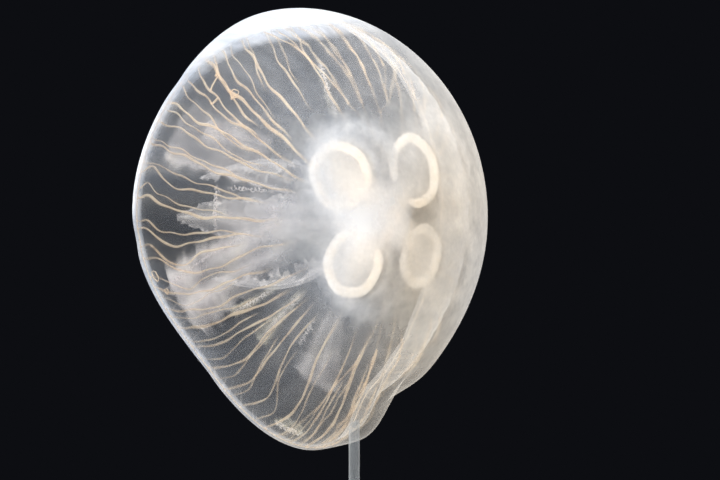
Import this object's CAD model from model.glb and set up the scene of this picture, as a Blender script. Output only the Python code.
from math import cos, pi, radians, sin, tau

import bmesh
import bpy
import numpy as np
from mathutils import Euler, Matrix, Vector


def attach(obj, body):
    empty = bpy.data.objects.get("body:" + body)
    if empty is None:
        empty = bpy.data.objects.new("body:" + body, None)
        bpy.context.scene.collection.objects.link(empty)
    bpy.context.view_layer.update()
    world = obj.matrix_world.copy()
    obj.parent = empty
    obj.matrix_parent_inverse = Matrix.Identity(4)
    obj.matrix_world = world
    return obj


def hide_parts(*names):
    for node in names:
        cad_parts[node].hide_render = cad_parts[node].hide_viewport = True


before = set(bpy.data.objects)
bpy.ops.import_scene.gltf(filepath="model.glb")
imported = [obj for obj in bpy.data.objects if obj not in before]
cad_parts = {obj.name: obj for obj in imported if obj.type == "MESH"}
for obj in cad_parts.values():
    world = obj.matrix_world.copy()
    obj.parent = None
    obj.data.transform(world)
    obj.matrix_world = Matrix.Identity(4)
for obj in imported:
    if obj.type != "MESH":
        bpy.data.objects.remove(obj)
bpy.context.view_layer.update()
rng = np.random.default_rng(7)

# ---------------- sizes, in metres

# The bell, as in the solids: an ellipsoid whose margin is drawn out and in by the stroke.
BELL_RADIUS = 0.118
BELL_HEIGHT = 0.086
MARGIN_ANGLE = radians(94)
STROKE_POWER = 2.5
RIM_OUT = (-0.04, -0.005, 0.015, -0.01, -0.025, -0.11, 0.11, -0.025)
RIM_LIFT = (-0.04, -0.02, -0.015, 0.055, 0.0, -0.01, 0.1, -0.08)
FOLD_TURN = radians(295.5)
FOLD_WIDTH = radians(11)
FOLD_POWER = 6
FOLD_IN = 0.062
FOLD_DROP = 0.03
CREASE_TURN = radians(290)
CREASE_WIDTH = radians(7.3)
CREASE_REACH = 0.68
CREASE_LENGTH = 0.165
CREASE_DEPTH = 0.083
LOBE_TURN = radians(280.6)
LOBE_WIDTH = radians(6.5)
LOBE_REACH = 0.77
LOBE_LENGTH = 0.145
LOBE_HEIGHT = 0.042
WALL_AT_CROWN = 0.018
WALL_AT_MARGIN = 0.0022
WALL_POWER = 1.6
LAPPETS = 8
FIRST_LAPPET = radians(6)
LAPPET_SPAN = tau / LAPPETS
SENSE_NOTCH = 0.014
SENSE_NOTCH_WIDTH = radians(4)

# The pose over the stand.
POSE_ROLL = radians(90)
POSE_HEADING = radians(41)
POSE_HEIGHT = 0.245
ROD_TURN = radians(270)
ROD_REACH = 0.7

# The gonads, the mouth and the oral arms.
GONAD_TURNS = (radians(45), radians(141), radians(231), radians(327))
GONAD_DISTANCES = (0.0430, 0.0395, 0.0350, 0.0435)
GONAD_RADII = (0.0205, 0.0190, 0.0185, 0.0175)
GONAD_OPEN = radians(50)
GONAD_DROP = 0.0033
MOUTH_HEIGHT = 0.040
ARMS = 4
ARM_START_RADIUS = 0.0095
ARM_START_HALF = 0.0046
ARM_HALF = 0.0175
ARM_TIP_HALF = 0.0011
ARM_BOW = 0.017
ARM_LENGTHS = (0.118, 0.130, 0.138, 0.126)
ARM_SPREADS = (0.006, 0.018, 0.012, 0.026)
ARM_DRIFTS = (radians(18), radians(14), radians(-12), radians(-10))
ARM_FOLD = 0.5
ARM_FRILL = 0.005
ARM_FRILL_WAVES = 5.0

# The camera looks level at the bell.
CAMERA_DISTANCE = 1.0
CAMERA_SIDE = 0.0295
CAMERA_DROP = 0.0118
CAMERA_LENS = 88.0

# ---------------- the bell's shape


def round_wave(values, turn):
    """Smooth closed curve through values that stand at even steps of one turn."""
    values = np.array(values)
    count = len(values)
    step = turn / tau * count % count
    first = np.floor(step).astype(int)
    share = step - first
    before, here, after, beyond = (values[(first + shift) % count] for shift in (-1, 0, 1, 2))
    slope = after - before
    curve = 2 * before - 5 * here + 4 * after - beyond
    twist = 3 * here - before - 3 * after + beyond
    return here + (slope * share + curve * share**2 + twist * share**3) / 2


def turn_between(turn, other):
    """Signed turn from other to turn, by the shorter way round."""
    return (turn - other + pi) % tau - pi


def polar(turn, radius, height):
    turn, radius, height = np.broadcast_arrays(turn, radius, height)
    return np.stack([radius * np.cos(turn), radius * np.sin(turn), height], -1).astype(float)


def patch(turn, reach, centre_turn, width, centre_reach, length):
    """A soft-edged patch of the bell, 1 at its middle and fading to 0 all round."""
    across = turn_between(turn, centre_turn) / width
    return np.exp(-(across**2) - ((reach - centre_reach) / length) ** 2)


def bell_point(turn, reach, dented=1):
    """Point on the outer face, at a turn round the axis and a reach from crown to margin."""
    angle = reach * MARGIN_ANGLE
    stroke = reach**STROKE_POWER
    fold = np.exp(-((turn_between(turn, FOLD_TURN) / FOLD_WIDTH) ** 2)) * reach**FOLD_POWER
    crease = patch(turn, reach, CREASE_TURN, CREASE_WIDTH, CREASE_REACH, CREASE_LENGTH)
    lobe = patch(turn, reach, LOBE_TURN, LOBE_WIDTH, LOBE_REACH, LOBE_LENGTH)
    out = 1 + stroke * round_wave(RIM_OUT, turn) - fold * FOLD_IN
    out = out + dented * (lobe * LOBE_HEIGHT - crease * CREASE_DEPTH)
    lift = stroke * round_wave(RIM_LIFT, turn) - fold * FOLD_DROP
    height = BELL_HEIGHT * np.cos(angle) + BELL_RADIUS * lift
    return polar(turn, BELL_RADIUS * np.sin(angle) * out, height)


def bell_normal(turn, reach):
    """Outward direction through the wall, even where it is creased."""
    step = 0.002
    reach = np.maximum(reach, 2 * step)
    downward = bell_point(turn, reach + step, 0) - bell_point(turn, reach - step, 0)
    sideways = bell_point(turn + step, reach, 0) - bell_point(turn - step, reach, 0)
    normal = np.cross(downward, sideways)
    return normal / np.linalg.norm(normal, axis=-1, keepdims=True)


def wall_thickness(reach):
    return WALL_AT_MARGIN + (WALL_AT_CROWN - WALL_AT_MARGIN) * (1 - reach**WALL_POWER)


def wall_point(turn, reach, depth):
    """Point in the bell's wall, from depth 0 on its outer face to 1 on its inner face."""
    inward = bell_normal(turn, reach) * (wall_thickness(reach) * depth)[..., None]
    return bell_point(turn, reach) - inward


def margin_reach(turn):
    """Where the margin ends, a little short at the notch of each sense organ."""
    off = turn_between(turn, FIRST_LAPPET) % LAPPET_SPAN
    off = np.minimum(off, LAPPET_SPAN - off)
    return 1 - SENSE_NOTCH * np.exp(-((off / SENSE_NOTCH_WIDTH) ** 2))


def smooth_step(low, high, value):
    share = np.clip((value - low) / (high - low), 0, 1)
    return share * share * (3 - 2 * share)


def bump(value, centre, width):
    return np.exp(-(((value - centre) / width) ** 2))


def beside(turn, degrees, width):
    """Soft hump in the turn round the axis, 1 at a place in degrees and fading over a width in radians."""
    return bump(turn_between(turn, radians(degrees)), 0, width)


def along(ends, share):
    """Value between two ends, at shares of the way from the first to the second."""
    return ends[0] + (ends[1] - ends[0]) * share


def there_and_back(start, end, count):
    """Even steps from start to end and back again, for a ring that closes round a thin sheet."""
    return np.concatenate([np.linspace(start, end, count), np.linspace(end, start, count)])


TURNED = np.array(Euler((POSE_ROLL, 0, POSE_HEADING)).to_matrix())
CONTACT = TURNED @ bell_point(np.float64(ROD_TURN), np.float64(ROD_REACH))
BELL_CENTRE = np.array([-CONTACT[0], -CONTACT[1], POSE_HEIGHT])


def posed(points):
    """Points about the bell's axis, moved into the swimming pose."""
    return points @ TURNED.T + BELL_CENTRE


# ---------------- making meshes


def put_in_scene(name, data):
    thing = bpy.data.objects.new(name, data)
    bpy.context.scene.collection.objects.link(thing)
    return thing


def finish_object(name, mesh, material):
    piece = put_in_scene(name, mesh)
    mesh.materials.clear()
    mesh.materials.append(material)
    mesh.shade_smooth()
    return piece


def keep_marks(mesh, marks):
    """Store named values at a mesh's points, one number or one vector for each."""
    for name, values in marks.items():
        kind, key = ("FLOAT", "value") if values.ndim == 1 else ("FLOAT_VECTOR", "vector")
        layer = mesh.attributes.new(name, kind, "POINT")
        layer.data.foreach_set(key, np.ascontiguousarray(values, dtype=np.float32).ravel())


def skin_through(name, rings, material, marks, tips=None):
    """Closed skin, in the pose, through rings of points drawn together to a tip at each end."""
    count, around, _ = rings.shape
    if tips is None:
        tips = (rings[0].mean(0), rings[-1].mean(0))
    points = posed(np.vstack([tips[0], rings.reshape(-1, 3), tips[1]]))
    here = np.arange(around)
    after = (here + 1) % around
    row = np.arange(count - 1)[:, None] * around + 1
    quads = np.stack([row + here, row + after, row + around + after, row + around + here], -1)
    last = 1 + (count - 1) * around
    first_fan = np.stack([0 * here, 1 + after, 1 + here], -1)
    last_fan = np.stack([0 * here + last + around, last + here, last + after], -1)
    faces = quads.reshape(-1, 4).tolist() + first_fan.tolist() + last_fan.tolist()
    mesh = bpy.data.meshes.new(name)
    mesh.from_pydata(points.tolist(), [], faces)
    mesh.update()
    work = bmesh.new()
    work.from_mesh(mesh)
    if work.calc_volume(signed=True) < 0:
        bmesh.ops.reverse_faces(work, faces=work.faces)
    work.to_mesh(mesh)
    work.free()
    full_marks = {}
    for key, values in marks.items():
        ends = [values[row].reshape(around, -1).mean(0) for row in (0, -1)]
        flat = np.vstack([ends[0], values.reshape(count * around, -1), ends[1]])
        full_marks[key] = flat[:, 0] if values.ndim == 2 else flat
    keep_marks(mesh, full_marks)
    return finish_object(name, mesh, material)


# ---------------- making materials


def add_node(tree, kind, inputs=None, **settings):
    """Add a shader node; each input is a value, or another node's output to link."""
    node = tree.nodes.new(kind)
    for key, value in settings.items():
        setattr(node, key, value)
    for key, value in (inputs or {}).items():
        if isinstance(value, bpy.types.NodeSocket):
            tree.links.new(value, node.inputs[key])
        else:
            node.inputs[key].default_value = value
    return node


def new_material(name):
    material = bpy.data.materials.new(name)
    material.use_nodes = True
    tree = material.node_tree
    tree.nodes.clear()
    return material, tree


def maths(tree, operation, *values, clamp=False):
    settings = {"operation": operation, "use_clamp": clamp}
    return add_node(tree, "ShaderNodeMath", dict(enumerate(values)), **settings).outputs[0]


def ramp(tree, value, *stops):
    """Colour ramp from stops of place and colour."""
    node = add_node(tree, "ShaderNodeValToRGB", {"Fac": value})
    elements = node.color_ramp.elements
    while len(elements) < len(stops):
        elements.new(1.0)
    for element, (place, colour) in zip(elements, stops):
        element.position = place
        element.color = (*colour, 1.0)
    return node.outputs["Color"]


def blend_range(tree, value, low, high):
    """Spread the middle of a noise over a range."""
    ends = {"From Min": 0.3, "From Max": 0.7, "To Min": low, "To Max": high}
    return add_node(tree, "ShaderNodeMapRange", {"Value": value, **ends}).outputs["Result"]


def read_mark(tree, name, output):
    return add_node(tree, "ShaderNodeAttribute", attribute_name=name).outputs[output]


def noise_of(tree, place, scale, detail, **more):
    inputs = {"Vector": place, "Scale": scale, "Detail": detail, **more}
    return add_node(tree, "ShaderNodeTexNoise", inputs).outputs["Fac"]


def object_place(tree):
    return add_node(tree, "ShaderNodeTexCoord").outputs["Object"]


def stretched(tree, place, scale):
    return add_node(tree, "ShaderNodeMapping", {"Vector": place, "Scale": scale}).outputs[0]


def edge_on(tree, blend=0.5):
    """0 where a face is seen straight on, rising to 1 where it is seen edge-on."""
    return add_node(tree, "ShaderNodeLayerWeight", {"Blend": blend}).outputs["Facing"]


def rough_normal(tree, height, strength, distance):
    inputs = {"Height": height, "Strength": strength, "Distance": distance}
    return add_node(tree, "ShaderNodeBump", inputs).outputs[0]


def principled(tree, **inputs):
    named = {key.replace("_", " "): value for key, value in inputs.items()}
    return add_node(tree, "ShaderNodeBsdfPrincipled", named).outputs[0]


def mix_shaders(tree, share, first, second):
    return add_node(tree, "ShaderNodeMixShader", {0: share, 1: first, 2: second}).outputs[0]


def surface(tree, shader):
    add_node(tree, "ShaderNodeOutputMaterial", {"Surface": shader})


def soft_flesh(tree, colour, opacity, roughness, through, normal, glow):
    """Flesh that lights up from both sides and lets part of the view through."""
    shine = principled(
        tree,
        Base_Color=colour,
        Roughness=roughness,
        Specular_IOR_Level=0.3,
        Emission_Color=colour,
        Emission_Strength=glow,
        Normal=normal,
    )
    behind = add_node(tree, "ShaderNodeBsdfTranslucent", {"Color": colour}).outputs[0]
    clear = add_node(tree, "ShaderNodeBsdfTransparent").outputs[0]
    surface(tree, mix_shaders(tree, opacity, clear, mix_shaders(tree, through, shine, behind)))


# How much milkier the jelly looks where it is seen edge-on.
JELLY_EDGE = 0.45


def make_jelly():
    """Clear blue-grey jelly with milky streaks that run from crown to margin."""
    material, tree = new_material("jelly")
    lie = read_mark(tree, "lie", "Vector")
    milk = read_mark(tree, "milk", "Fac")
    streaks = noise_of(tree, stretched(tree, lie, (9.0, 9.0, 1.3)), 1.0, 4.0, Roughness=0.55)
    fine = noise_of(tree, stretched(tree, lie, (24.0, 24.0, 3.0)), 1.0, 1.0)
    cloud = blend_range(tree, streaks, 0.70, 1.30)
    grain = blend_range(tree, fine, 0.9, 1.1)
    opacity = maths(tree, "MULTIPLY", maths(tree, "MULTIPLY", milk, cloud), grain)
    edge = maths(tree, "MULTIPLY", maths(tree, "POWER", edge_on(tree), 3.0), JELLY_EDGE)
    clear_part = maths(tree, "SUBTRACT", 1.0, opacity)
    total = maths(tree, "MULTIPLY_ADD", edge, clear_part, opacity, clamp=True)
    cool = ramp(tree, streaks, (0.3, (0.76, 0.83, 0.95)), (0.7, (0.92, 0.94, 0.98)))
    cream = ramp(tree, streaks, (0.3, (0.96, 0.87, 0.75)), (0.7, (1.0, 0.93, 0.82)))
    tint = {0: read_mark(tree, "warmth", "Fac"), 6: cool, 7: cream}
    colour = add_node(tree, "ShaderNodeMix", tint, data_type="RGBA").outputs[2]
    normal = rough_normal(tree, fine, 0.12, 0.0006)
    soft_flesh(tree, colour, total, 0.28, 0.5, normal, read_mark(tree, "glow", "Fac"))
    return material


def make_flesh(name, colours, opacity_range, scale, through=0.5, glow=0.0, soft=0.0):
    """Milky flesh clouded by noise, clearer where it is seen edge-on the softer it is."""
    material, tree = new_material(name)
    place = object_place(tree)
    noise = noise_of(tree, place, scale, 5.0, Roughness=0.6)
    milk = read_mark(tree, "milk", "Fac")
    colour = ramp(tree, noise, *colours)
    opacity = maths(tree, "MULTIPLY", milk, blend_range(tree, noise, *opacity_range))
    if soft:
        thinning = maths(tree, "POWER", maths(tree, "SUBTRACT", 1.0, edge_on(tree)), soft)
        opacity = maths(tree, "MULTIPLY", opacity, thinning)
    normal = rough_normal(tree, noise_of(tree, place, scale * 9, 2.0), 0.2, 0.0004)
    soft_flesh(tree, colour, opacity, 0.4, through, normal, glow)
    return material


def make_paint():
    """Satin black paint with a fine orange-peel."""
    material, tree = new_material("base_paint")
    place = object_place(tree)
    cloud = noise_of(tree, place, 30.0, 4.0)
    peel = noise_of(tree, place, 900.0, 2.0)
    colour = ramp(tree, cloud, (0.3, (0.018, 0.018, 0.02)), (0.7, (0.03, 0.03, 0.033)))
    rough = blend_range(tree, cloud, 0.34, 0.46)
    normal = rough_normal(tree, peel, 0.15, 0.0003)
    surface(tree, principled(tree, Base_Color=colour, Roughness=rough, Normal=normal))
    return material


def make_clear_rod():
    """Polished clear acrylic with faint drawing marks along it."""
    material, tree = new_material("clear_rod")
    marks = noise_of(tree, stretched(tree, object_place(tree), (700.0, 700.0, 6.0)), 1.0, 2.0)
    colour = ramp(tree, marks, (0.3, (0.80, 0.84, 0.86)), (0.7, (0.93, 0.95, 0.96)))
    gloss = principled(tree, Base_Color=colour, Roughness=blend_range(tree, marks, 0.04, 0.12))
    clear = add_node(tree, "ShaderNodeBsdfTransparent").outputs[0]
    opacity = maths(tree, "MULTIPLY_ADD", edge_on(tree, 0.35), 0.35, 0.22)
    surface(tree, mix_shaders(tree, opacity, clear, gloss))
    return material


# Each flesh: its colours from low to high cloud, how far the cloud varies its milkiness, the scale of
# the cloud, and then how much light comes through from behind, its own glow and its softness.
FLESHES = {
    "canal": (
        ((0.3, (1.0, 0.75, 0.50)), (0.6, (1.0, 0.84, 0.63)), (0.8, (0.99, 0.91, 0.76))),
        (0.55, 1.15), 75.0, 0.45, 0.10, 1.5,
    ),
    "gonad": (
        ((0.3, (1.0, 0.86, 0.66)), (0.55, (1.0, 0.95, 0.86)), (0.8, (1.0, 0.98, 0.94))),
        (0.85, 1.0), 160.0, 0.4, 0.88, 0.7,
    ),
    "stomach": (((0.3, (1.0, 0.93, 0.84)), (0.7, (1.0, 0.97, 0.92))), (0.85, 1.05), 90.0, 0.5, 0.65),
    "veil": (((0.3, (0.96, 0.92, 0.88)), (0.7, (1.0, 0.95, 0.87))), (0.8, 1.1), 80.0, 0.5, 0.25),
    "arm": (
        ((0.3, (0.90, 0.84, 0.84)), (0.55, (0.97, 0.92, 0.89)), (0.8, (1.0, 0.92, 0.80))),
        (0.5, 1.2), 55.0,
    ),
    "frill": (((0.3, (0.98, 0.89, 0.64)), (0.7, (1.0, 0.96, 0.80))), (0.3, 1.5), 260.0, 0.5, 0.1, 0.5),
    "tentacle": (((0.3, (0.95, 0.86, 0.76)), (0.7, (1.0, 0.94, 0.86))), (0.8, 1.1), 120.0, 0.5, 0.0, 0.5),
    "sense_organ": (((0.3, (0.55, 0.30, 0.12)), (0.7, (0.80, 0.52, 0.26))), (1.0, 1.0), 400.0, 0.3),
}
materials = {name: make_flesh(name, *look) for name, look in FLESHES.items()}
materials["jelly"] = make_jelly()
materials["base_paint"] = make_paint()
materials["clear_rod"] = make_clear_rod()

# ---------------- the bell

# Light scattered within the jelly: over the stomach, and in soft rings round the gonads.
GLOW = 0.54
GLOW_TURN = radians(186)
GLOW_DISTANCE = 0.031
GLOW_REACH = 0.021
HALO_GLOW = 0.30
HALO_OFFSET = 0.0035
HALO_WIDTH = 0.0065
# How strong the ring round each gonad is.
GONAD_HALOES = (0.16, 0.38, 0.26, 0.14)
# Hazes in the wall: how milky, the turn in degrees and the spread in radians, the reaches over which
# each sets in, and the share of it that is lost again at the margin.
HAZES = (
    (0.11, 144, 0.40, 0.25, 0.50, 0.5),
    (0.012, 238, 0.50, 0.40, 0.60, 0),
    (0.07, 212, 0.22, 0.75, 0.95, 0),
    (0.13, 165, 0.16, 0.60, 0.85, 0),
)
# The white band along the top of the margin: its turn in degrees, its spread and its inner edge.
WHITE_BAND_TURN = 108
WHITE_BAND_SPREAD = 0.66
WHITE_BAND_EDGE = 0.95
MOST_MILK = 0.97


def across_axis(turn, reach):
    """Where a place on the bell lies in the plane across the axis."""
    radius = BELL_RADIUS * np.sin(reach * MARGIN_ANGLE)
    return radius * np.cos(turn), radius * np.sin(turn)


def gonad_centre(number):
    """Where a gonad's middle lies in the same plane."""
    turn, distance = GONAD_TURNS[number], GONAD_DISTANCES[number]
    return distance * cos(turn), distance * sin(turn)


def gonad_halo(turn, reach):
    """Soft rings on the wall just outside the four gonads."""
    x, y = across_axis(turn, reach)
    halo = 0
    for number, strength in enumerate(GONAD_HALOES):
        centre_x, centre_y = gonad_centre(number)
        off = np.hypot(x - centre_x, y - centre_y)
        halo = halo + strength * bump(off, GONAD_RADII[number] + HALO_OFFSET, HALO_WIDTH)
    return halo


def haze_milk(turn, reach):
    """The hazes of the flank, summed."""
    total = 0
    for strength, place, spread, start, full, lost in HAZES:
        haze = strength * beside(turn, place, spread) * smooth_step(start, full, reach)
        total = total + haze * (1 - lost * smooth_step(0.75, 0.95, reach))
    return total


def margin_milk(turn, reach):
    """The white band along the top and the pale rim all round."""
    band = WHITE_BAND_EDGE - 0.25 * beside(turn, 98, radians(30))
    white = 0.90 * beside(turn, WHITE_BAND_TURN, WHITE_BAND_SPREAD)
    white = white * smooth_step(band - 0.03, band + 0.04, reach) * smooth_step(radians(45), radians(82), turn)
    return white + (0.12 + 0.5 * beside(turn, 185, 1.45)) * smooth_step(0.962, 0.988, reach)


def bell_milk(turn, reach):
    """How milky the wall is, as opacity of one face seen straight on."""
    crown = 0.42 * bump(reach, 0.0, 0.36)
    flank = 0.048 + 0.03 * bump(reach, 0.5, 0.22)
    clear_lobe = 1 - 0.95 * beside(turn, 288, 0.35) * smooth_step(0.5, 0.7, reach)
    dome = smooth_step(0.1, 0.3, reach) * (1 - 0.35 * smooth_step(0.5, 0.8, reach))
    far_side = 0.44 * beside(turn, 3, 0.88) * dome * (1 - 0.22 * beside(turn, 42, 0.4))
    near_mouth = 0.12 * beside(turn, 184, 0.38) * bump(reach, 0.33, 0.17)
    body = crown + (flank + far_side) * clear_lobe + haze_milk(turn, reach) + near_mouth
    return np.clip(body + margin_milk(turn, reach) + gonad_halo(turn, reach), 0, MOST_MILK)


def bell_glow(turn, reach):
    """Light scattered back out of the outer face over the stomach and the gonads."""
    x, y = across_axis(turn, reach)
    off = np.hypot(x - GLOW_DISTANCE * cos(GLOW_TURN), y - GLOW_DISTANCE * sin(GLOW_TURN))
    return GLOW * bump(off, 0, GLOW_REACH) + HALO_GLOW * gonad_halo(turn, reach)


def bell_warmth(turn, reach):
    """From 0, blue-white as at the top, to 1, cream as on the far side."""
    warm = 0.7 * beside(turn, 22, 1.0) + 0.9 * beside(turn, 292, 0.6) + 0.4 * bump(reach, 0.0, 0.35)
    return np.clip(warm, 0, 1)


# The skin's cells round the axis and from crown to margin, and its fine furrows.
SKIN_ROUND = 400
SKIN_ROWS = 84
SKIN_START = 0.012
FURROWS = 48
FURROW_DEPTH = 0.0003


def make_bell_skin():
    """One skin over the whole bell: outer face, rounded margin and furrowed inner face."""
    turn = np.linspace(0, tau, SKIN_ROUND, endpoint=False)
    outer_share = np.linspace(SKIN_START, 1, SKIN_ROWS)[:, None]
    inner_share = outer_share[::-1]
    end = margin_reach(turn)[None, :]
    turns = turn[None, :]
    outer_reach = outer_share * end
    outer = wall_point(turns + 0 * outer_reach, outer_reach, 0 * outer_reach)
    inner_reach = inner_share * end
    furrow = FURROW_DEPTH * np.sin(FURROWS * turns) * smooth_step(0.35, 0.7, inner_share)
    furrow = furrow * smooth_step(1.0, 0.93, inner_share)
    depth = 1 + furrow / wall_thickness(inner_reach)
    inner = wall_point(turns + 0 * inner_reach, inner_reach, depth)
    rim_outer, rim_inner = outer[-1], inner[0]
    middle = (rim_outer + rim_inner) / 2
    half = (rim_outer - rim_inner) / 2
    onward = outer[-1] - outer[-2]
    onward /= np.linalg.norm(onward, axis=-1, keepdims=True)
    reach_out = np.linalg.norm(half, axis=-1, keepdims=True)
    rim = [middle + half * cos(a) + onward * reach_out * sin(a) for a in np.linspace(0, pi, 7)[1:-1]]
    rings = np.concatenate([outer, np.array(rim), inner])
    reaches = np.concatenate([outer_reach, np.repeat(end, len(rim), 0), inner_reach])
    all_turns = np.broadcast_to(turns, reaches.shape)
    outside = (np.arange(len(rings)) < len(outer))[:, None]
    thinned = np.where(outside, 1, 1 - 0.6 * beside(turns, 0, 1.0))
    marks = {
        "milk": bell_milk(all_turns, reaches) * thinned,
        "warmth": bell_warmth(all_turns, reaches),
        "glow": outside * bell_glow(all_turns, reaches),
        "lie": polar(all_turns, np.minimum(reaches / 0.6, 1), reaches),
    }
    tips = (np.array([0, 0, BELL_HEIGHT]), np.array([0, 0, BELL_HEIGHT - WALL_AT_CROWN]))
    skin = skin_through("bell_skin", rings, materials["jelly"], marks, tips)
    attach(skin, "root")
    names = ["crown"] + [f"{kind}_{i + 1}" for kind in ("flank", "lappet") for i in range(LAPPETS)]
    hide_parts(*names)


# ---------------- tubes along lines


def tube_nodes(name):
    """Node group that turns edges with a kept radius into round tubes of one material."""
    group = bpy.data.node_groups.new(name, "GeometryNodeTree")
    for label, kind in (("Geometry", "Geometry"), ("Sides", "Int"), ("Material", "Material")):
        group.interface.new_socket(label, in_out="INPUT", socket_type="NodeSocket" + kind)
    group.interface.new_socket("Geometry", in_out="OUTPUT", socket_type="NodeSocketGeometry")
    source = group.nodes.new("NodeGroupInput").outputs
    radius = add_node(group, "GeometryNodeInputNamedAttribute", {"Name": "radius"}, data_type="FLOAT")
    lines = add_node(group, "GeometryNodeMeshToCurve", {"Mesh": source["Geometry"]})
    circle = {"Resolution": source["Sides"], "Radius": 1.0}
    ring = add_node(group, "GeometryNodeCurvePrimitiveCircle", circle)
    sweep = {
        "Curve": lines.outputs[0],
        "Profile Curve": ring.outputs[0],
        "Scale": radius.outputs["Attribute"],
        "Fill Caps": True,
    }
    tube = add_node(group, "GeometryNodeCurveToMesh", sweep)
    real = add_node(group, "GeometryNodeRealizeInstances", {"Geometry": tube.outputs[0]})
    cover = {"Geometry": real.outputs[0], "Material": source["Material"]}
    covered = add_node(group, "GeometryNodeSetMaterial", cover)
    add_node(group, "NodeGroupOutput", {"Geometry": covered.outputs[0]})
    return group


def run_nodes(name, mesh, group, settings, material):
    """Give a mesh a node group, with its inputs set, and keep the plain mesh that comes out."""
    holder = put_in_scene(mesh.name, mesh)
    modifier = holder.modifiers.new("shape", "NODES")
    modifier.node_group = group
    for item in group.interface.items_tree:
        if item.item_type == "SOCKET" and item.in_out == "INPUT" and item.name in settings:
            modifier[item.identifier] = settings[item.name]
    holder.update_tag()
    bpy.context.view_layer.update()
    evaluated = holder.evaluated_get(bpy.context.evaluated_depsgraph_get())
    made = bpy.data.meshes.new_from_object(evaluated)
    made.name = name
    bpy.data.objects.remove(holder, do_unlink=True)
    work = bmesh.new()
    work.from_mesh(made)
    bmesh.ops.remove_doubles(work, verts=work.verts, dist=0.00001)
    bmesh.ops.recalc_face_normals(work, faces=work.faces)
    work.to_mesh(made)
    work.free()
    return finish_object(name, made, material)


def lines_mesh(name, lines, radii, milk):
    """Mesh of edges along several open lines, with a radius and a milkiness kept at each point."""
    points = np.vstack(lines)
    edges = []
    start = 0
    for line in lines:
        edges += [(start + i, start + i + 1) for i in range(len(line) - 1)]
        start += len(line)
    mesh = bpy.data.meshes.new(name)
    mesh.from_pydata(points.tolist(), edges, [])
    keep_marks(mesh, {"radius": np.concatenate(radii), "milk": np.concatenate(milk)})
    return mesh


def make_tubes(name, sides, lines, radii, milk, material):
    """Round tubes of one material along open lines, as one plain mesh."""
    mesh = lines_mesh(name + "_lines", lines, radii, milk)
    settings = {"Sides": sides, "Material": material}
    return run_nodes(name, mesh, tube_nodes(name + "_tubes"), settings, material)


# ---------------- the canals

CANAL_DEPTH = 0.82
CANAL_RISE = 0.3
CANAL_RING_REACH = 0.984
NOTCH_GAP = 0.008
# The main canals of the far side, by sixteenths of a turn from the first lappet. The even ones fork
# at about these reaches, leaning towards their ends, and grow finer at each fork.
MAIN_STEPS = 16
MAIN_CANALS = (0, 1, 2, 3, 4, 12, 13, 14, 15)
CANAL_ENDS = 11
ENDS_SPREAD = 0.83 * tau / MAIN_STEPS
CANAL_FORKS = (0.25, 0.36, 0.52, 0.70)
FORK_LEANS = (0.55, 0.7, 0.9, 1.0)
CANAL_RADII = (0.00082, 0.00078, 0.00074, 0.00070, 0.00064)
# The canals of the near side start evenly spaced along the margin, between two turns in degrees.
# Broad and fine ones take turns, and so do the reaches at which they fade out.
NEAR_CANALS = 46
NEAR_TURNS = (101, 271)
NEAR_MARGIN_REACH = 0.98
NEAR_RADIUS = 0.00076
CANAL_WEIGHTS = (1.15, 0.65, 0.95, 0.6)
CANAL_INNER_REACHES = (0.35, 0.50, 0.40, 0.55)
# Where the near canals are broader than elsewhere, and how far that spreads, in degrees.
BROAD_PLACES = ((130, 5), (186, 3), (215, 3), (269, 5))
# Bridges from one near canal to another, and small closed rings round places on them, with their size.
# Each place is a canal's number and the share of its way inwards.
CANAL_BRIDGES = (
    ((7, 0.34), (8, 0.22)),
    ((8, 0.24), (9, 0.36)),
    ((7, 0.62), (8, 0.42)),
    ((9, 0.46), (10, 0.34)),
)
CANAL_RINGS = ((8, 0.42, 0.019), (25, 0.06, 0.019), (26, 0.11, 0.011))
# Broad soft streaks deep in the wall: how milky, then the turns and the reaches of the two ends.
SOFT_STREAKS = (
    (0.30, (55, 66), (0.60, 0.32)),
    (0.34, (70, 87), (0.66, 0.34)),
    (0.40, (295, 305), (0.72, 0.42)),
    (0.22, (309, 314), (0.66, 0.42)),
)


def canal_line(start, end):
    """Line in the wall from one (turn, reach) to another, easing over and swinging gently."""
    share = np.linspace(0, 1, max(5, int(90 * abs(end[1] - start[1]))))
    reach = along((start[1], end[1]), share)
    turn = along((start[0], end[0]), 0.6 * smooth_step(0, 1, share) + 0.4 * share)
    swing = rng.uniform(0.004, 0.010) * np.sin(pi * share) ** 0.5
    turn = turn + swing * np.sin(tau * (rng.uniform(4, 8) * reach + rng.uniform(0, 1)))
    turn = turn + 0.4 * swing * np.sin(tau * (rng.uniform(12, 20) * reach))
    return turn, reach


def near_canal(start, inner, share):
    """Turn in degrees and reach of a near canal, at shares of the way from the margin inwards.

    Above, the canals sweep over to one side as they run inwards, and below to the other. At the
    middle of the side they have a crook near the margin, and further down a bow.
    """
    sweep = 22 * bump(start, 122, 32) + 5 * bump(start, 172, 18) - 14 * bump(start, 243, 19)
    crook = -2.5 * bump(start, 174, 14) * bump(share, 0.12, 0.09)
    bow = 5 * bump(start, 192, 14) * bump(share, 0.38, 0.22)
    bow = bow + 4 * bump(start, 246, 20) * bump(share, 0.33, 0.25)
    return start + sweep * share**0.9 + crook + bow, along((NEAR_MARGIN_REACH, inner), share)


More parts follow.
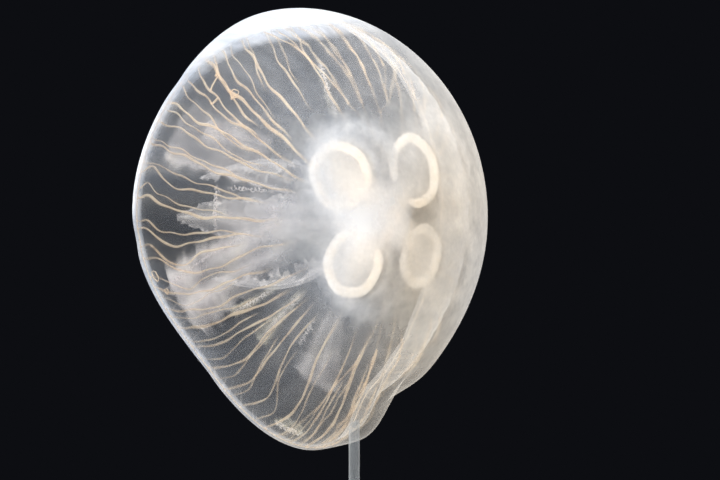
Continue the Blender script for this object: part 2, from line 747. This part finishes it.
def fork_canals(root, ends, level, lines):
    """Grow a branching canal from its root to its ends at the margin, halving them at each fork."""
    if len(ends) == 1 or level == len(CANAL_FORKS):
        for end in ends:
            lines.append((root, (end, CANAL_RING_REACH), level))
        return
    middle = len(ends) // 2 + (int(rng.integers(0, 2)) if len(ends) % 2 else 0)
    for group in (ends[:middle], ends[middle:]):
        if len(group) == 1:
            lines.append((root, (group[0], CANAL_RING_REACH), level))
            continue
        reach = CANAL_FORKS[level] + rng.uniform(-0.04, 0.10)
        fork_turn = along((root[0], float(np.mean(group))), FORK_LEANS[level]) + rng.uniform(-0.015, 0.015)
        fork = (fork_turn, max(reach, root[1] + 0.05))
        lines.append((root, fork, level))
        fork_canals(fork, group, level + 1, lines)


def lay(laid, turn, reach, depth, radius, strength):
    """Lay one line of canal in the wall, short of the margin and its notches."""
    reach = np.minimum(reach, margin_reach(turn) - NOTCH_GAP)
    laid.append((posed(wall_point(turn, reach, depth)), radius, strength))


def canal_depth(reach):
    """Depth of the canals in the wall, which rise towards its outer face at the margin."""
    return CANAL_DEPTH - CANAL_RISE * smooth_step(0.8, 1.0, reach)


def lay_main_canals(laid):
    """The main canals of the far side, every other one of them branching."""
    lines = []
    for number in MAIN_CANALS:
        turn = FIRST_LAPPET + number * tau / MAIN_STEPS
        if number % 2:
            lines.append(((turn, 0.26), (turn + rng.uniform(-0.02, 0.02), CANAL_RING_REACH), 1))
            continue
        spread = np.linspace(-1, 1, CANAL_ENDS) * ENDS_SPREAD
        ends = turn + spread + rng.uniform(-0.024, 0.024, CANAL_ENDS)
        fork_canals((turn, 0.2), list(ends), 0, lines)
    for start, end, level in lines:
        turn, reach = canal_line(start, end)
        radius = CANAL_RADII[level] * rng.uniform(0.6, 1.4)
        radius = radius * (1 + 0.25 * np.sin(60 * reach + 9 * start[0]))
        strength = rng.uniform(0.3, 0.8) * (0.3 + 0.7 * beside(start[0], 178, 1.7))
        strength = strength * (0.2 + 0.8 * smooth_step(0.22, 0.5, reach))
        lay(laid, turn, reach, canal_depth(reach), radius, strength)


def lay_near(laid, turn, reach, weight, fade):
    """Lay a canal of the near side, at turns in degrees, broader and milkier with its weight."""
    radius = NEAR_RADIUS * weight**0.7 * (1 + 0.22 * np.sin(31 * reach + turn[0]))
    strength = np.minimum(1, 0.45 + 0.4 * weight) * (0.60 + 0.36 * bump(turn, 152, 32))
    lay(laid, np.radians(turn), reach, canal_depth(reach), radius, strength * fade)


def lay_near_canals(laid):
    """The canals of the near side, with their bridges and small rings."""
    near = []
    share = np.linspace(0, 1, 70)
    for number, start in enumerate(np.linspace(*NEAR_TURNS, NEAR_CANALS)):
        kind = number % len(CANAL_WEIGHTS)
        start = start + rng.uniform(-1.2, 1.2)
        turn, reach = near_canal(start, CANAL_INNER_REACHES[kind] + rng.uniform(-0.05, 0.05), share)
        drift = rng.uniform(0, tau, 3)
        calm = 1 - 0.65 * smooth_step(200, 222, start)
        turn = turn + 0.8 * np.sin(13 * reach + drift[0]) * share**0.5
        turn = turn + calm * (0.45 * np.sin(29 * reach + drift[1]) + 0.2 * np.sin(61 * reach + drift[2]))
        broad = sum(0.45 * bump(start, place, spread) for place, spread in BROAD_PLACES)
        weight = CANAL_WEIGHTS[kind] * rng.uniform(0.85, 1.15) + broad
        lay_near(laid, turn, reach, weight, smooth_step(1.0, 0.80, share))
        near.append((turn, reach))

    def on_near(number, place):
        turn, reach = near[number]
        return np.interp(place, share, turn), np.interp(place, share, reach)

    for first, last in CANAL_BRIDGES:
        step = np.linspace(0, 1, 12)
        turns, reaches = zip(on_near(*first), on_near(*last))
        lay_near(laid, along(turns, step) + 1.2 * np.sin(pi * step), along(reaches, step), 1.0, 1)
    for number, place, size in CANAL_RINGS:
        turn, reach = on_near(number, place)
        step = np.linspace(0, tau, 25)
        size = size * (1 + 0.16 * np.sin(2 * step + turn) + 0.08 * np.sin(5 * step + turn))
        around = radians(turn) + 1.2 * size * np.cos(step)
        even = np.ones_like(step)
        lay(laid, around, reach + size * np.sin(step), CANAL_DEPTH - 0.1, 0.0004 * even, 0.8 * even)


def lay_soft_streaks(laid):
    for strength, turns, reaches in SOFT_STREAKS:
        step = np.linspace(0, 1, 30)
        ends = np.sin(pi * np.clip(step, 0.02, 0.98)) ** 0.6
        turn = np.radians(along(turns, step**1.4))
        lay(laid, turn, along(reaches, step), np.full(30, 0.6), 0.0017 * ends, strength * ends)


def lay_margin_ring(laid):
    turn = np.linspace(0, tau, 361)
    even = np.ones_like(turn)
    lay(laid, turn, CANAL_RING_REACH * even, 0.5, 0.00055 * even, 0.5 * even)


def make_canals():
    """The canals in the wall: main, near, soft streaks and the ring along the margin, in one mesh."""
    laid = []
    lay_main_canals(laid)
    lay_near_canals(laid)
    lay_soft_streaks(laid)
    lay_margin_ring(laid)
    canals = make_tubes("canals", 6, *zip(*laid), materials["canal"])
    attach(canals, "root")


# ---------------- gonads and stomach


def below(turn, reach, drop):
    """Point below the bell's inner face."""
    return wall_point(turn, reach, np.ones_like(turn)) - bell_normal(turn, reach) * drop[..., None]


def under_wall(x, y, drop):
    """Point below the bell's inner face, over a place in the plane across the axis."""
    return below(np.arctan2(y, x), np.arcsin(np.hypot(x, y) / BELL_RADIUS) / MARGIN_ANGLE, drop)


# How milky each gonad and its veil are, and how far each stomach pouch is drawn out.
GONAD_MILK = (0.72, 1.0, 0.95, 0.5)
VEIL_MILK = (0.20, 0.54, 0.42, 0.38)
POUCH_DEPTHS = (0.35, 1.0, 0.85, 0.45)
BAND_THICKNESS = 0.0027
VEIL_OVERLAP = 1.22
VEIL_SAG = 0.0022
VEIL_RINGS = 16
STOMACH_RADIUS = 0.023
STOMACH_POUCH = 0.038
STOMACH_DEPTH = 0.0055
STOMACH_RINGS = 26


def make_gonad_band(number):
    """The horseshoe of folded tissue round a gonad's pouch."""
    centre_x, centre_y = gonad_centre(number)
    share = np.linspace(0, 1, 300)[:, None]
    around = np.linspace(0, tau, 20, endpoint=False)[None, :]
    swing = GONAD_TURNS[number] + (tau - GONAD_OPEN) * (share - 0.5)
    folds = np.sin(tau * 23 * share + number + 2 * np.sin(tau * 3 * share)) + 0.5 * np.sin(tau * 41 * share)
    taper = np.sqrt(np.clip(np.sin(pi * (0.02 + 0.96 * share)) * 4, 0, 1))
    thick = BAND_THICKNESS * taper * (1 + 0.05 * folds * np.cos(around))
    radial = GONAD_RADII[number] + 0.0003 * np.sin(tau * 5 * share + 2 * number)
    radial = radial + 1.15 * thick * np.cos(around)
    drop = GONAD_DROP - thick * np.sin(around) * 0.85
    rings = under_wall(centre_x + radial * np.cos(swing), centre_y + radial * np.sin(swing), drop)
    marks = {"milk": np.full(rings.shape[:2], GONAD_MILK[number])}
    name = f"gonad_{number + 1}"
    band = skin_through(name + "_band", rings, materials["gonad"], marks)
    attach(band, "root")
    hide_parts(name)


def make_gonad_veil(number):
    """The thin veil that closes a gonad's pouch below."""
    centre_x, centre_y = gonad_centre(number)
    spread = there_and_back(0.03, 1, VEIL_RINGS)[:, None]
    face = np.repeat((-1.0, 1.0), VEIL_RINGS)[:, None]
    angle = np.linspace(0, tau, 72, endpoint=False)[None, :]
    size = VEIL_OVERLAP * GONAD_RADII[number] * spread
    sag = VEIL_SAG * (1 - spread**2)
    pucker = 0.0003 * np.sin(24 * angle) * spread**2
    drop = GONAD_DROP + 0.0006 + sag * (face > 0) + 0.0004 * face * (1 - spread**6) + pucker
    rings = under_wall(centre_x + size * np.cos(angle), centre_y + size * np.sin(angle), drop)
    marks = {"milk": VEIL_MILK[number] * (1 - smooth_step(0.68, 1.0, spread)) + 0 * angle}
    veil = skin_through(f"gonad_{number + 1}_veil", rings, materials["veil"], marks)
    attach(veil, "root")


def make_stomach():
    """The thin-walled stomach between the gonads, drawn out into four pouches."""
    spread = there_and_back(0.03, 1, STOMACH_RINGS)[:, None]
    face = np.repeat((0.0, 1.0), STOMACH_RINGS)[:, None]
    angle = np.linspace(0, tau, 160, endpoint=False)[None, :]
    lobes = 0
    for heading, depth in zip(GONAD_TURNS, POUCH_DEPTHS):
        lobes = lobes + depth * bump(turn_between(angle, heading), 0, 0.42)
    size = (STOMACH_RADIUS + STOMACH_POUCH * lobes) * spread
    drop = 0.0005 + face * STOMACH_DEPTH * (1 - spread**3) + 0 * angle
    rings = under_wall(size * np.cos(angle), size * np.sin(angle), drop)
    marks = {"milk": 0.95 * (1 - smooth_step(0.30, 1.0, spread)) + 0.0 * angle}
    stomach = skin_through("stomach", rings, materials["stomach"], marks)
    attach(stomach, "root")


# ---------------- mouth and oral arms


def make_mouth():
    """The short mouth tube, its lip drawn out to the four arms."""
    share = np.linspace(0, 1, 40)[:, None]
    turn = np.linspace(0, tau, 120, endpoint=False)[None, :]
    waist = 0.0118 - 0.0036 * np.sin(pi * np.clip(share * 1.25, 0, 1)) ** 1.5
    corner = 0.05 + 0.22 * share**2
    ruffle = 0.0004 * np.sin(40 * turn + 6 * share) * smooth_step(0.6, 1, share)
    radius = waist * (1 + corner * np.cos(ARMS * (turn - FIRST_LAPPET))) + ruffle
    height = 0.0655 - 0.025 * share
    outer = polar(turn, radius, height)
    inner = polar(turn, radius * 0.72, height)[::-1][:20]
    rings = np.concatenate([outer, inner])
    tips = (np.array([0, 0, 0.0663]), np.array([0, 0, inner[-1, 0, 2] + 0.001]))
    marks = {"milk": np.full(rings.shape[:2], 0.55)}
    mouth = skin_through("mouth", rings, materials["arm"], marks, tips)
    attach(mouth, "root")
    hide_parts("manubrium")


# Steps along an oral arm and across one of its faces, and the ruffles along its lips.
ARM_STEPS = 260
ARM_ACROSS = 44
ARM_RUFFLES = 17
ARM_RUFFLE = 0.0026
ARM_RIB = 0.0026
ARM_EDGE = 0.0004


def arm_half_width(share):
    swell = ARM_START_HALF + (ARM_HALF - ARM_START_HALF) * np.sin(np.minimum(1, share / 0.6) * pi / 2)
    return ARM_TIP_HALF + (swell - ARM_TIP_HALF) * (1 - share) ** 0.6


def make_arm(number):
    """An oral arm: a stout midrib with two thin curtains that ruffle towards their lips."""
    share = np.linspace(0.0, 1.0, ARM_STEPS)[:, None]
    face = there_and_back(-1, 1, ARM_ACROSS)[None, :]
    through = np.repeat((0.5, -0.5), ARM_ACROSS)[None, :]
    turn = FIRST_LAPPET + tau / ARMS * number + ARM_DRIFTS[number] * share
    radius = ARM_START_RADIUS + ARM_BOW * np.sin(pi * share**0.8) + ARM_SPREADS[number] * share
    height = MOUTH_HEIGHT - ARM_LENGTHS[number] * share
    half = arm_half_width(share)
    side = np.abs(face)
    sway = np.sin(tau * ARM_FRILL_WAVES * share + number + np.where(face > 0, 2.0, 0.0))
    frill = ARM_FRILL * side**3 * sway * half / ARM_HALF
    phase = np.where(face > 0, 1.3, 0.0) + number
    ruffle = ARM_RUFFLE * side**4 * np.sin(tau * ARM_RUFFLES * share + phase + 2.0 * np.sin(tau * 4 * share))
    ruffle = ruffle + 0.0005 * side**8 * np.sin(tau * 43 * share + 2 * phase)
    root_fade = smooth_step(0.0, 0.12, share)
    ruffle = ruffle * root_fade * (0.35 + 0.65 * half / ARM_HALF)
    thickness = along((ARM_RIB, ARM_EDGE), side**0.7) * (1 - 0.35 * share)
    edge = np.sqrt(np.clip(1 - side**10, 0.0, 1))
    offset = through * thickness * edge + frill + ruffle - ARM_FOLD * side * half
    scallop = 1 + 0.10 * side**6 * np.sin(tau * 23 * share + 3 * phase)
    across = face * half * scallop
    outward = np.concatenate([np.cos(turn), np.sin(turn), 0 * turn], -1)[:, None, :]
    sideways = np.concatenate([-np.sin(turn), np.cos(turn), 0 * turn], -1)[:, None, :]
    line = polar(turn[:, 0], radius[:, 0], height[:, 0])[:, None, :]
    lift = 0.0018 * side**4 * np.cos(tau * ARM_RUFFLES * share + phase) * root_fade
    rings = line + outward * offset[..., None] + sideways * across[..., None]
    rings[..., 2] += lift
    marks = {"milk": 0.11 + 0.07 * bump(side, 1.0, 0.25) + 0.15 * bump(side, 0.0, 0.25) + 0 * share}
    name = f"oral_arm_{number + 1}"
    arm = skin_through(name, rings, materials["arm"], marks)
    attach(arm, "root")
    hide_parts(*(f"{name}_{length}" for length in ("root", "mid", "tip")))


# ---------------- curtains under the bell

# Each curtain: material, where its bright ridge lies from -1 to 1 across it and how bright
# that is, then at its inner and its outer end the reach, the turn of its middle in degrees,
# half its breadth in degrees and how milky it is.
CURTAINS = (
    ("arm", 0.68, 0.50, (0.31, 0.94), (163, 155), (6, 13), (0.26, 0.42)),
    ("arm", 0.0, 0.10, (0.46, 0.78), (150, 153), (5, 6), (0.40, 0.46)),
    ("arm", 0.1, 0.15, (0.28, 0.66), (181, 177), (17, 8), (0.52, 0.18)),
    ("arm", -0.62, 0.34, (0.30, 0.965), (188, 209), (14, 14), (0.34, 0.92)),
    ("arm", 0.0, 0.0, (0.30, 0.655), (240, 255), (8, 15), (0.16, 0.30)),
    ("frill", 0.0, 0.0, (0.45, 0.71), (211, 214), (2, 2.5), (0.28, 0.28)),
    ("frill", 0.0, 0.0, (0.36, 0.68), (219, 227), (3, 4.5), (0.26, 0.26)),
    ("frill", 0.0, 0.0, (0.35, 0.60), (115, 105), (4, 3), (0.16, 0.14)),
    ("frill", 0.0, 0.0, (0.87, 0.975), (258, 259), (3, 6), (0.20, 0.40)),
)
# Each curled lip: the curtain's number, where it runs across the curtain (-1 and 1 are its edges) and
# along it, then how milky it is, its curls and their size in reach.
LIPS = (
    (4, (-0.55, -0.5), (0.30, 0.98), 0.6, 27, 0.007),
    (3, (-0.9, 0.9), (0.95, 0.95), 0.6, 16, 0.008),
    (3, (-0.8, -0.8), (0.37, 0.84), 0.6, 14, 0.008),
    (3, (-0.4, 0.5), (0.37, 0.33), 0.5, 12, 0.010),
    (6, (0, 0), (0.15, 0.85), 0.5, 18, 0.008),
    (7, (0, 0), (0.1, 0.9), 0.3, 24, 0.012),
    (8, (0, 0), (0.1, 1.0), 0.5, 22, 0.010),
    (9, (-0.9, 0.9), (0.8, 0.8), 0.5, 13, 0.007),
    (5, (-1, -1), (0.34, 0.68), 0.3, 10, 0.010),
)
CURTAIN_ACROSS = 40
CURTAIN_DROP = 0.0042
CURTAIN_THICKNESS = 0.0005
CURTAIN_RUFFLES = 11
LIP_DROP = 0.0035
LIP_RADIUS = 0.00030


def make_curtain(number, kind, ridge, ridge_milk, *ranges):
    """A thin soft fold of the arms' tissue that lies close under the bell's wall."""
    share = np.linspace(0, 1, 150)[:, None]
    reach, middle, half, milk = [along(ends, share) for ends in ranges]
    face = there_and_back(-1, 1, CURTAIN_ACROSS)[None, :]
    through = np.repeat((-0.5, 0.5), CURTAIN_ACROSS)[None, :]
    side = np.abs(face)
    ends = np.clip(np.minimum(share, 1 - share) * 12, 0, 1) ** 0.5
    phase = 1.7 * number + np.where(face > 0, 2.1, 0.0)
    scallop = 1 + 0.12 * side**3 * np.sin(tau * 7 * share + phase)
    scallop = scallop + 0.06 * side**5 * np.sin(tau * 19 * share + phase)
    turn = np.radians(middle + half * face * scallop * (0.3 + 0.7 * ends))
    lengthwise = 0.0007 * np.sin(pi * 3.2 * face + 2.5 * share + number)
    waves = tau * CURTAIN_RUFFLES * share + phase
    ruffle = 0.0012 * side**3 * np.sin(waves + 1.5 * np.sin(tau * 3 * share))
    drop = CURTAIN_DROP + lengthwise + ruffle + through * CURTAIN_THICKNESS
    reach = reach + 0.012 * side**4 * np.cos(waves) * ends
    crest = 0.5 + 0.5 * np.sin(pi * 3.2 * face + 2.5 * share + number + 0.9)
    fade = smooth_step(0, 0.2, share) * smooth_step(1.0, 0.93, share)
    worn = 0.8 + 0.2 * np.sin(tau * 2.3 * share + 3 * face + number)
    body = milk * worn * (0.65 + 0.35 * crest) * (1 - smooth_step(0.40, 1.0, side))
    marks = {"milk": fade * (body + ridge_milk * bump(face, ridge + 0.06 * np.sin(tau * share), 0.11))}
    rings = below(turn, reach, drop)
    curtain = skin_through(f"curtain_{number + 1}", rings, materials[kind], marks)
    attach(curtain, "root")


def make_lips():
    """The curled lips of the curtains, each one thin rounded edge thrown into curls."""
    laid = []
    for number, across, lengthwise, milkiness, curls, size in LIPS:
        share = np.linspace(0, 1, 24 * curls)
        place = along(lengthwise, share)
        reach, middle, half, _ = [along(ends, place) for ends in CURTAINS[number - 1][3:]]
        drift = rng.uniform(0, tau, 3)
        around = tau * curls * share + 1.6 * np.sin(tau * 2.3 * share + drift[0])
        swell = 0.65 + 0.35 * np.sin(tau * 3.7 * share + drift[1]) * np.sin(tau * 1.3 * share + drift[2])
        roll = 1.4 * np.cos(around) + 1.1 * np.cos(2.7 * around + drift[0])
        turn = np.radians(middle + half * along(across, share)) + size * swell * roll
        curl = 0.7 * np.sin(around) + 0.6 * np.sin(1.7 * around + drift[1])
        reach = np.minimum(reach + size * swell * curl, margin_reach(turn) - 0.01)
        line = posed(below(turn, reach, LIP_DROP + 0.0012 * np.cos(0.5 * around)))
        radius = LIP_RADIUS * (0.8 + 0.4 * swell * np.sin(3 * around))
        ends = np.sin(pi * np.clip(share, 0.03, 0.97)) ** 0.5
        laid.append((line, radius, milkiness * ends * (0.6 + 0.4 * swell)))
    lips = make_tubes("lips", 5, *zip(*laid), materials["arm"])
    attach(lips, "root")


# ---------------- tentacles and sense organs


TENTACLES_TO_A_LAPPET = 62
TENTACLE_LENGTHS = (0.006, 0.0135)
TENTACLE_RADIUS = 0.00028
TENTACLE_SIDE_GAP = radians(2)


def make_tentacles():
    """Fine short tentacles all along the margin, curled in towards the mouth."""
    laid = []
    for lappet in range(LAPPETS):
        first = FIRST_LAPPET + LAPPET_SPAN * lappet + TENTACLE_SIDE_GAP
        for number in range(TENTACLES_TO_A_LAPPET):
            place = (number + rng.uniform(0.2, 0.8)) / TENTACLES_TO_A_LAPPET
            turn = first + (LAPPET_SPAN - 2 * TENTACLE_SIDE_GAP) * place
            length = rng.uniform(*TENTACLE_LENGTHS)
            curl = rng.uniform(0.25, 0.75)
            lean = rng.uniform(-0.35, 0.35)
            here = np.float64(turn)
            root = wall_point(here, margin_reach(here), np.float64(rng.uniform(0.25, 0.6)))
            share = np.linspace(0, 1, 9)
            inward = length * (0.35 * share + curl * share**2)
            back = length * (0.8 * share - 0.25 * share**2) - 0.0004
            slide = length * lean * share**1.5
            outward = np.array([cos(turn), sin(turn), 0])
            sideways = np.array([-sin(turn), cos(turn), 0])
            line = root - outward * inward[:, None] + sideways * slide[:, None]
            line[:, 2] -= back
            milk = (0.45 - 0.25 * share) * (0.2 + 0.8 * beside(turn, 190, 1.3))
            laid.append((posed(line), TENTACLE_RADIUS * (1 - 0.65 * share), milk))
    fringe = make_tubes("tentacle_fringe", 5, *zip(*laid), materials["tentacle"])
    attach(fringe, "root")
    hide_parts(*(f"tentacles_{i + 1}" for i in range(LAPPETS)))


def cover_node(name, material):
    """Give a solid that stays in view its finished material."""
    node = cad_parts[name]
    node.data.materials.clear()
    node.data.materials.append(material)


# ---------------- floor, lights and camera


def make_floor():
    """A round pale table top under the stand."""
    top = bmesh.new()
    bmesh.ops.create_cone(top, cap_ends=True, segments=160, radius1=0.3, radius2=0.3, depth=0.03)
    bmesh.ops.translate(top, verts=top.verts, vec=(0, 0, -0.015))
    mesh = bpy.data.meshes.new("floor")
    top.to_mesh(mesh)
    top.free()
    material, tree = new_material("floor")
    cloud = noise_of(tree, object_place(tree), 6.0, 4.0)
    colour = ramp(tree, cloud, (0.3, (0.32, 0.32, 0.315)), (0.7, (0.36, 0.36, 0.355)))
    surface(tree, principled(tree, Base_Color=colour, Roughness=0.7))
    floor = put_in_scene("floor", mesh)
    mesh.materials.append(material)


# Each lamp: its place from the bell's middle, its size, its power and its colour.
LAMPS = {
    "top_light": ((0.10, 0.10, 0.95), 0.7, 20.0, (0.94, 0.97, 1.0)),
    "front_light": ((-0.7, -1.3, 0.6), 0.8, 14.5, (0.94, 0.97, 1.0)),
    "right_light": ((1.0, 0.5, 0.35), 0.6, 5.0, (1.0, 0.97, 0.93)),
    "left_light": ((-1.0, 0.6, 0.25), 0.6, 14.5, (1.0, 1.0, 1.0)),
}


def make_lights():
    """Soft round lamps about the bell in a dim room."""
    target = Vector(BELL_CENTRE)
    for name, (offset, size, power, colour) in LAMPS.items():
        lamp = bpy.data.lights.new(name, "AREA")
        lamp.shape = "DISK"
        lamp.size = size
        lamp.energy = power
        lamp.color = colour
        box = put_in_scene(name, lamp)
        box.location = target + Vector(offset)
        box.rotation_euler = (target - box.location).to_track_quat("-Z", "Y").to_euler()
    world = bpy.data.worlds.new("dark_room")
    world.use_nodes = True
    room = world.node_tree.nodes["Background"].inputs
    room["Color"].default_value = (0.02, 0.022, 0.03, 1)
    room["Strength"].default_value = 0.2
    bpy.context.scene.world = world


def make_camera():
    lens = bpy.data.cameras.new("camera")
    lens.lens = CAMERA_LENS
    lens.sensor_width = 36.0
    lens.clip_start = 0.05
    lens.clip_end = 30.0
    camera = put_in_scene("camera", lens)
    camera.location = Vector(BELL_CENTRE) + Vector((CAMERA_SIDE, -CAMERA_DISTANCE, -CAMERA_DROP))
    camera.rotation_euler = (radians(90), 0, 0)
    bpy.context.scene.camera = camera


make_bell_skin()
make_canals()
for quarter in range(ARMS):
    make_gonad_band(quarter)
    make_gonad_veil(quarter)
    make_arm(quarter)
for number, curtain in enumerate(CURTAINS):
    make_curtain(number, *curtain)
make_lips()
make_stomach()
make_mouth()
make_tentacles()
for lappet in range(LAPPETS):
    cover_node(f"sense_organ_{lappet + 1}", materials["sense_organ"])
cover_node("stand_base", materials["base_paint"])
cover_node("stand_collar", materials["base_paint"])
cover_node("stand_rod", materials["clear_rod"])
make_floor()
make_lights()
make_camera()
bpy.context.scene.cycles.transparent_max_bounces = 40
bpy.context.scene.view_settings.view_transform = "Standard"
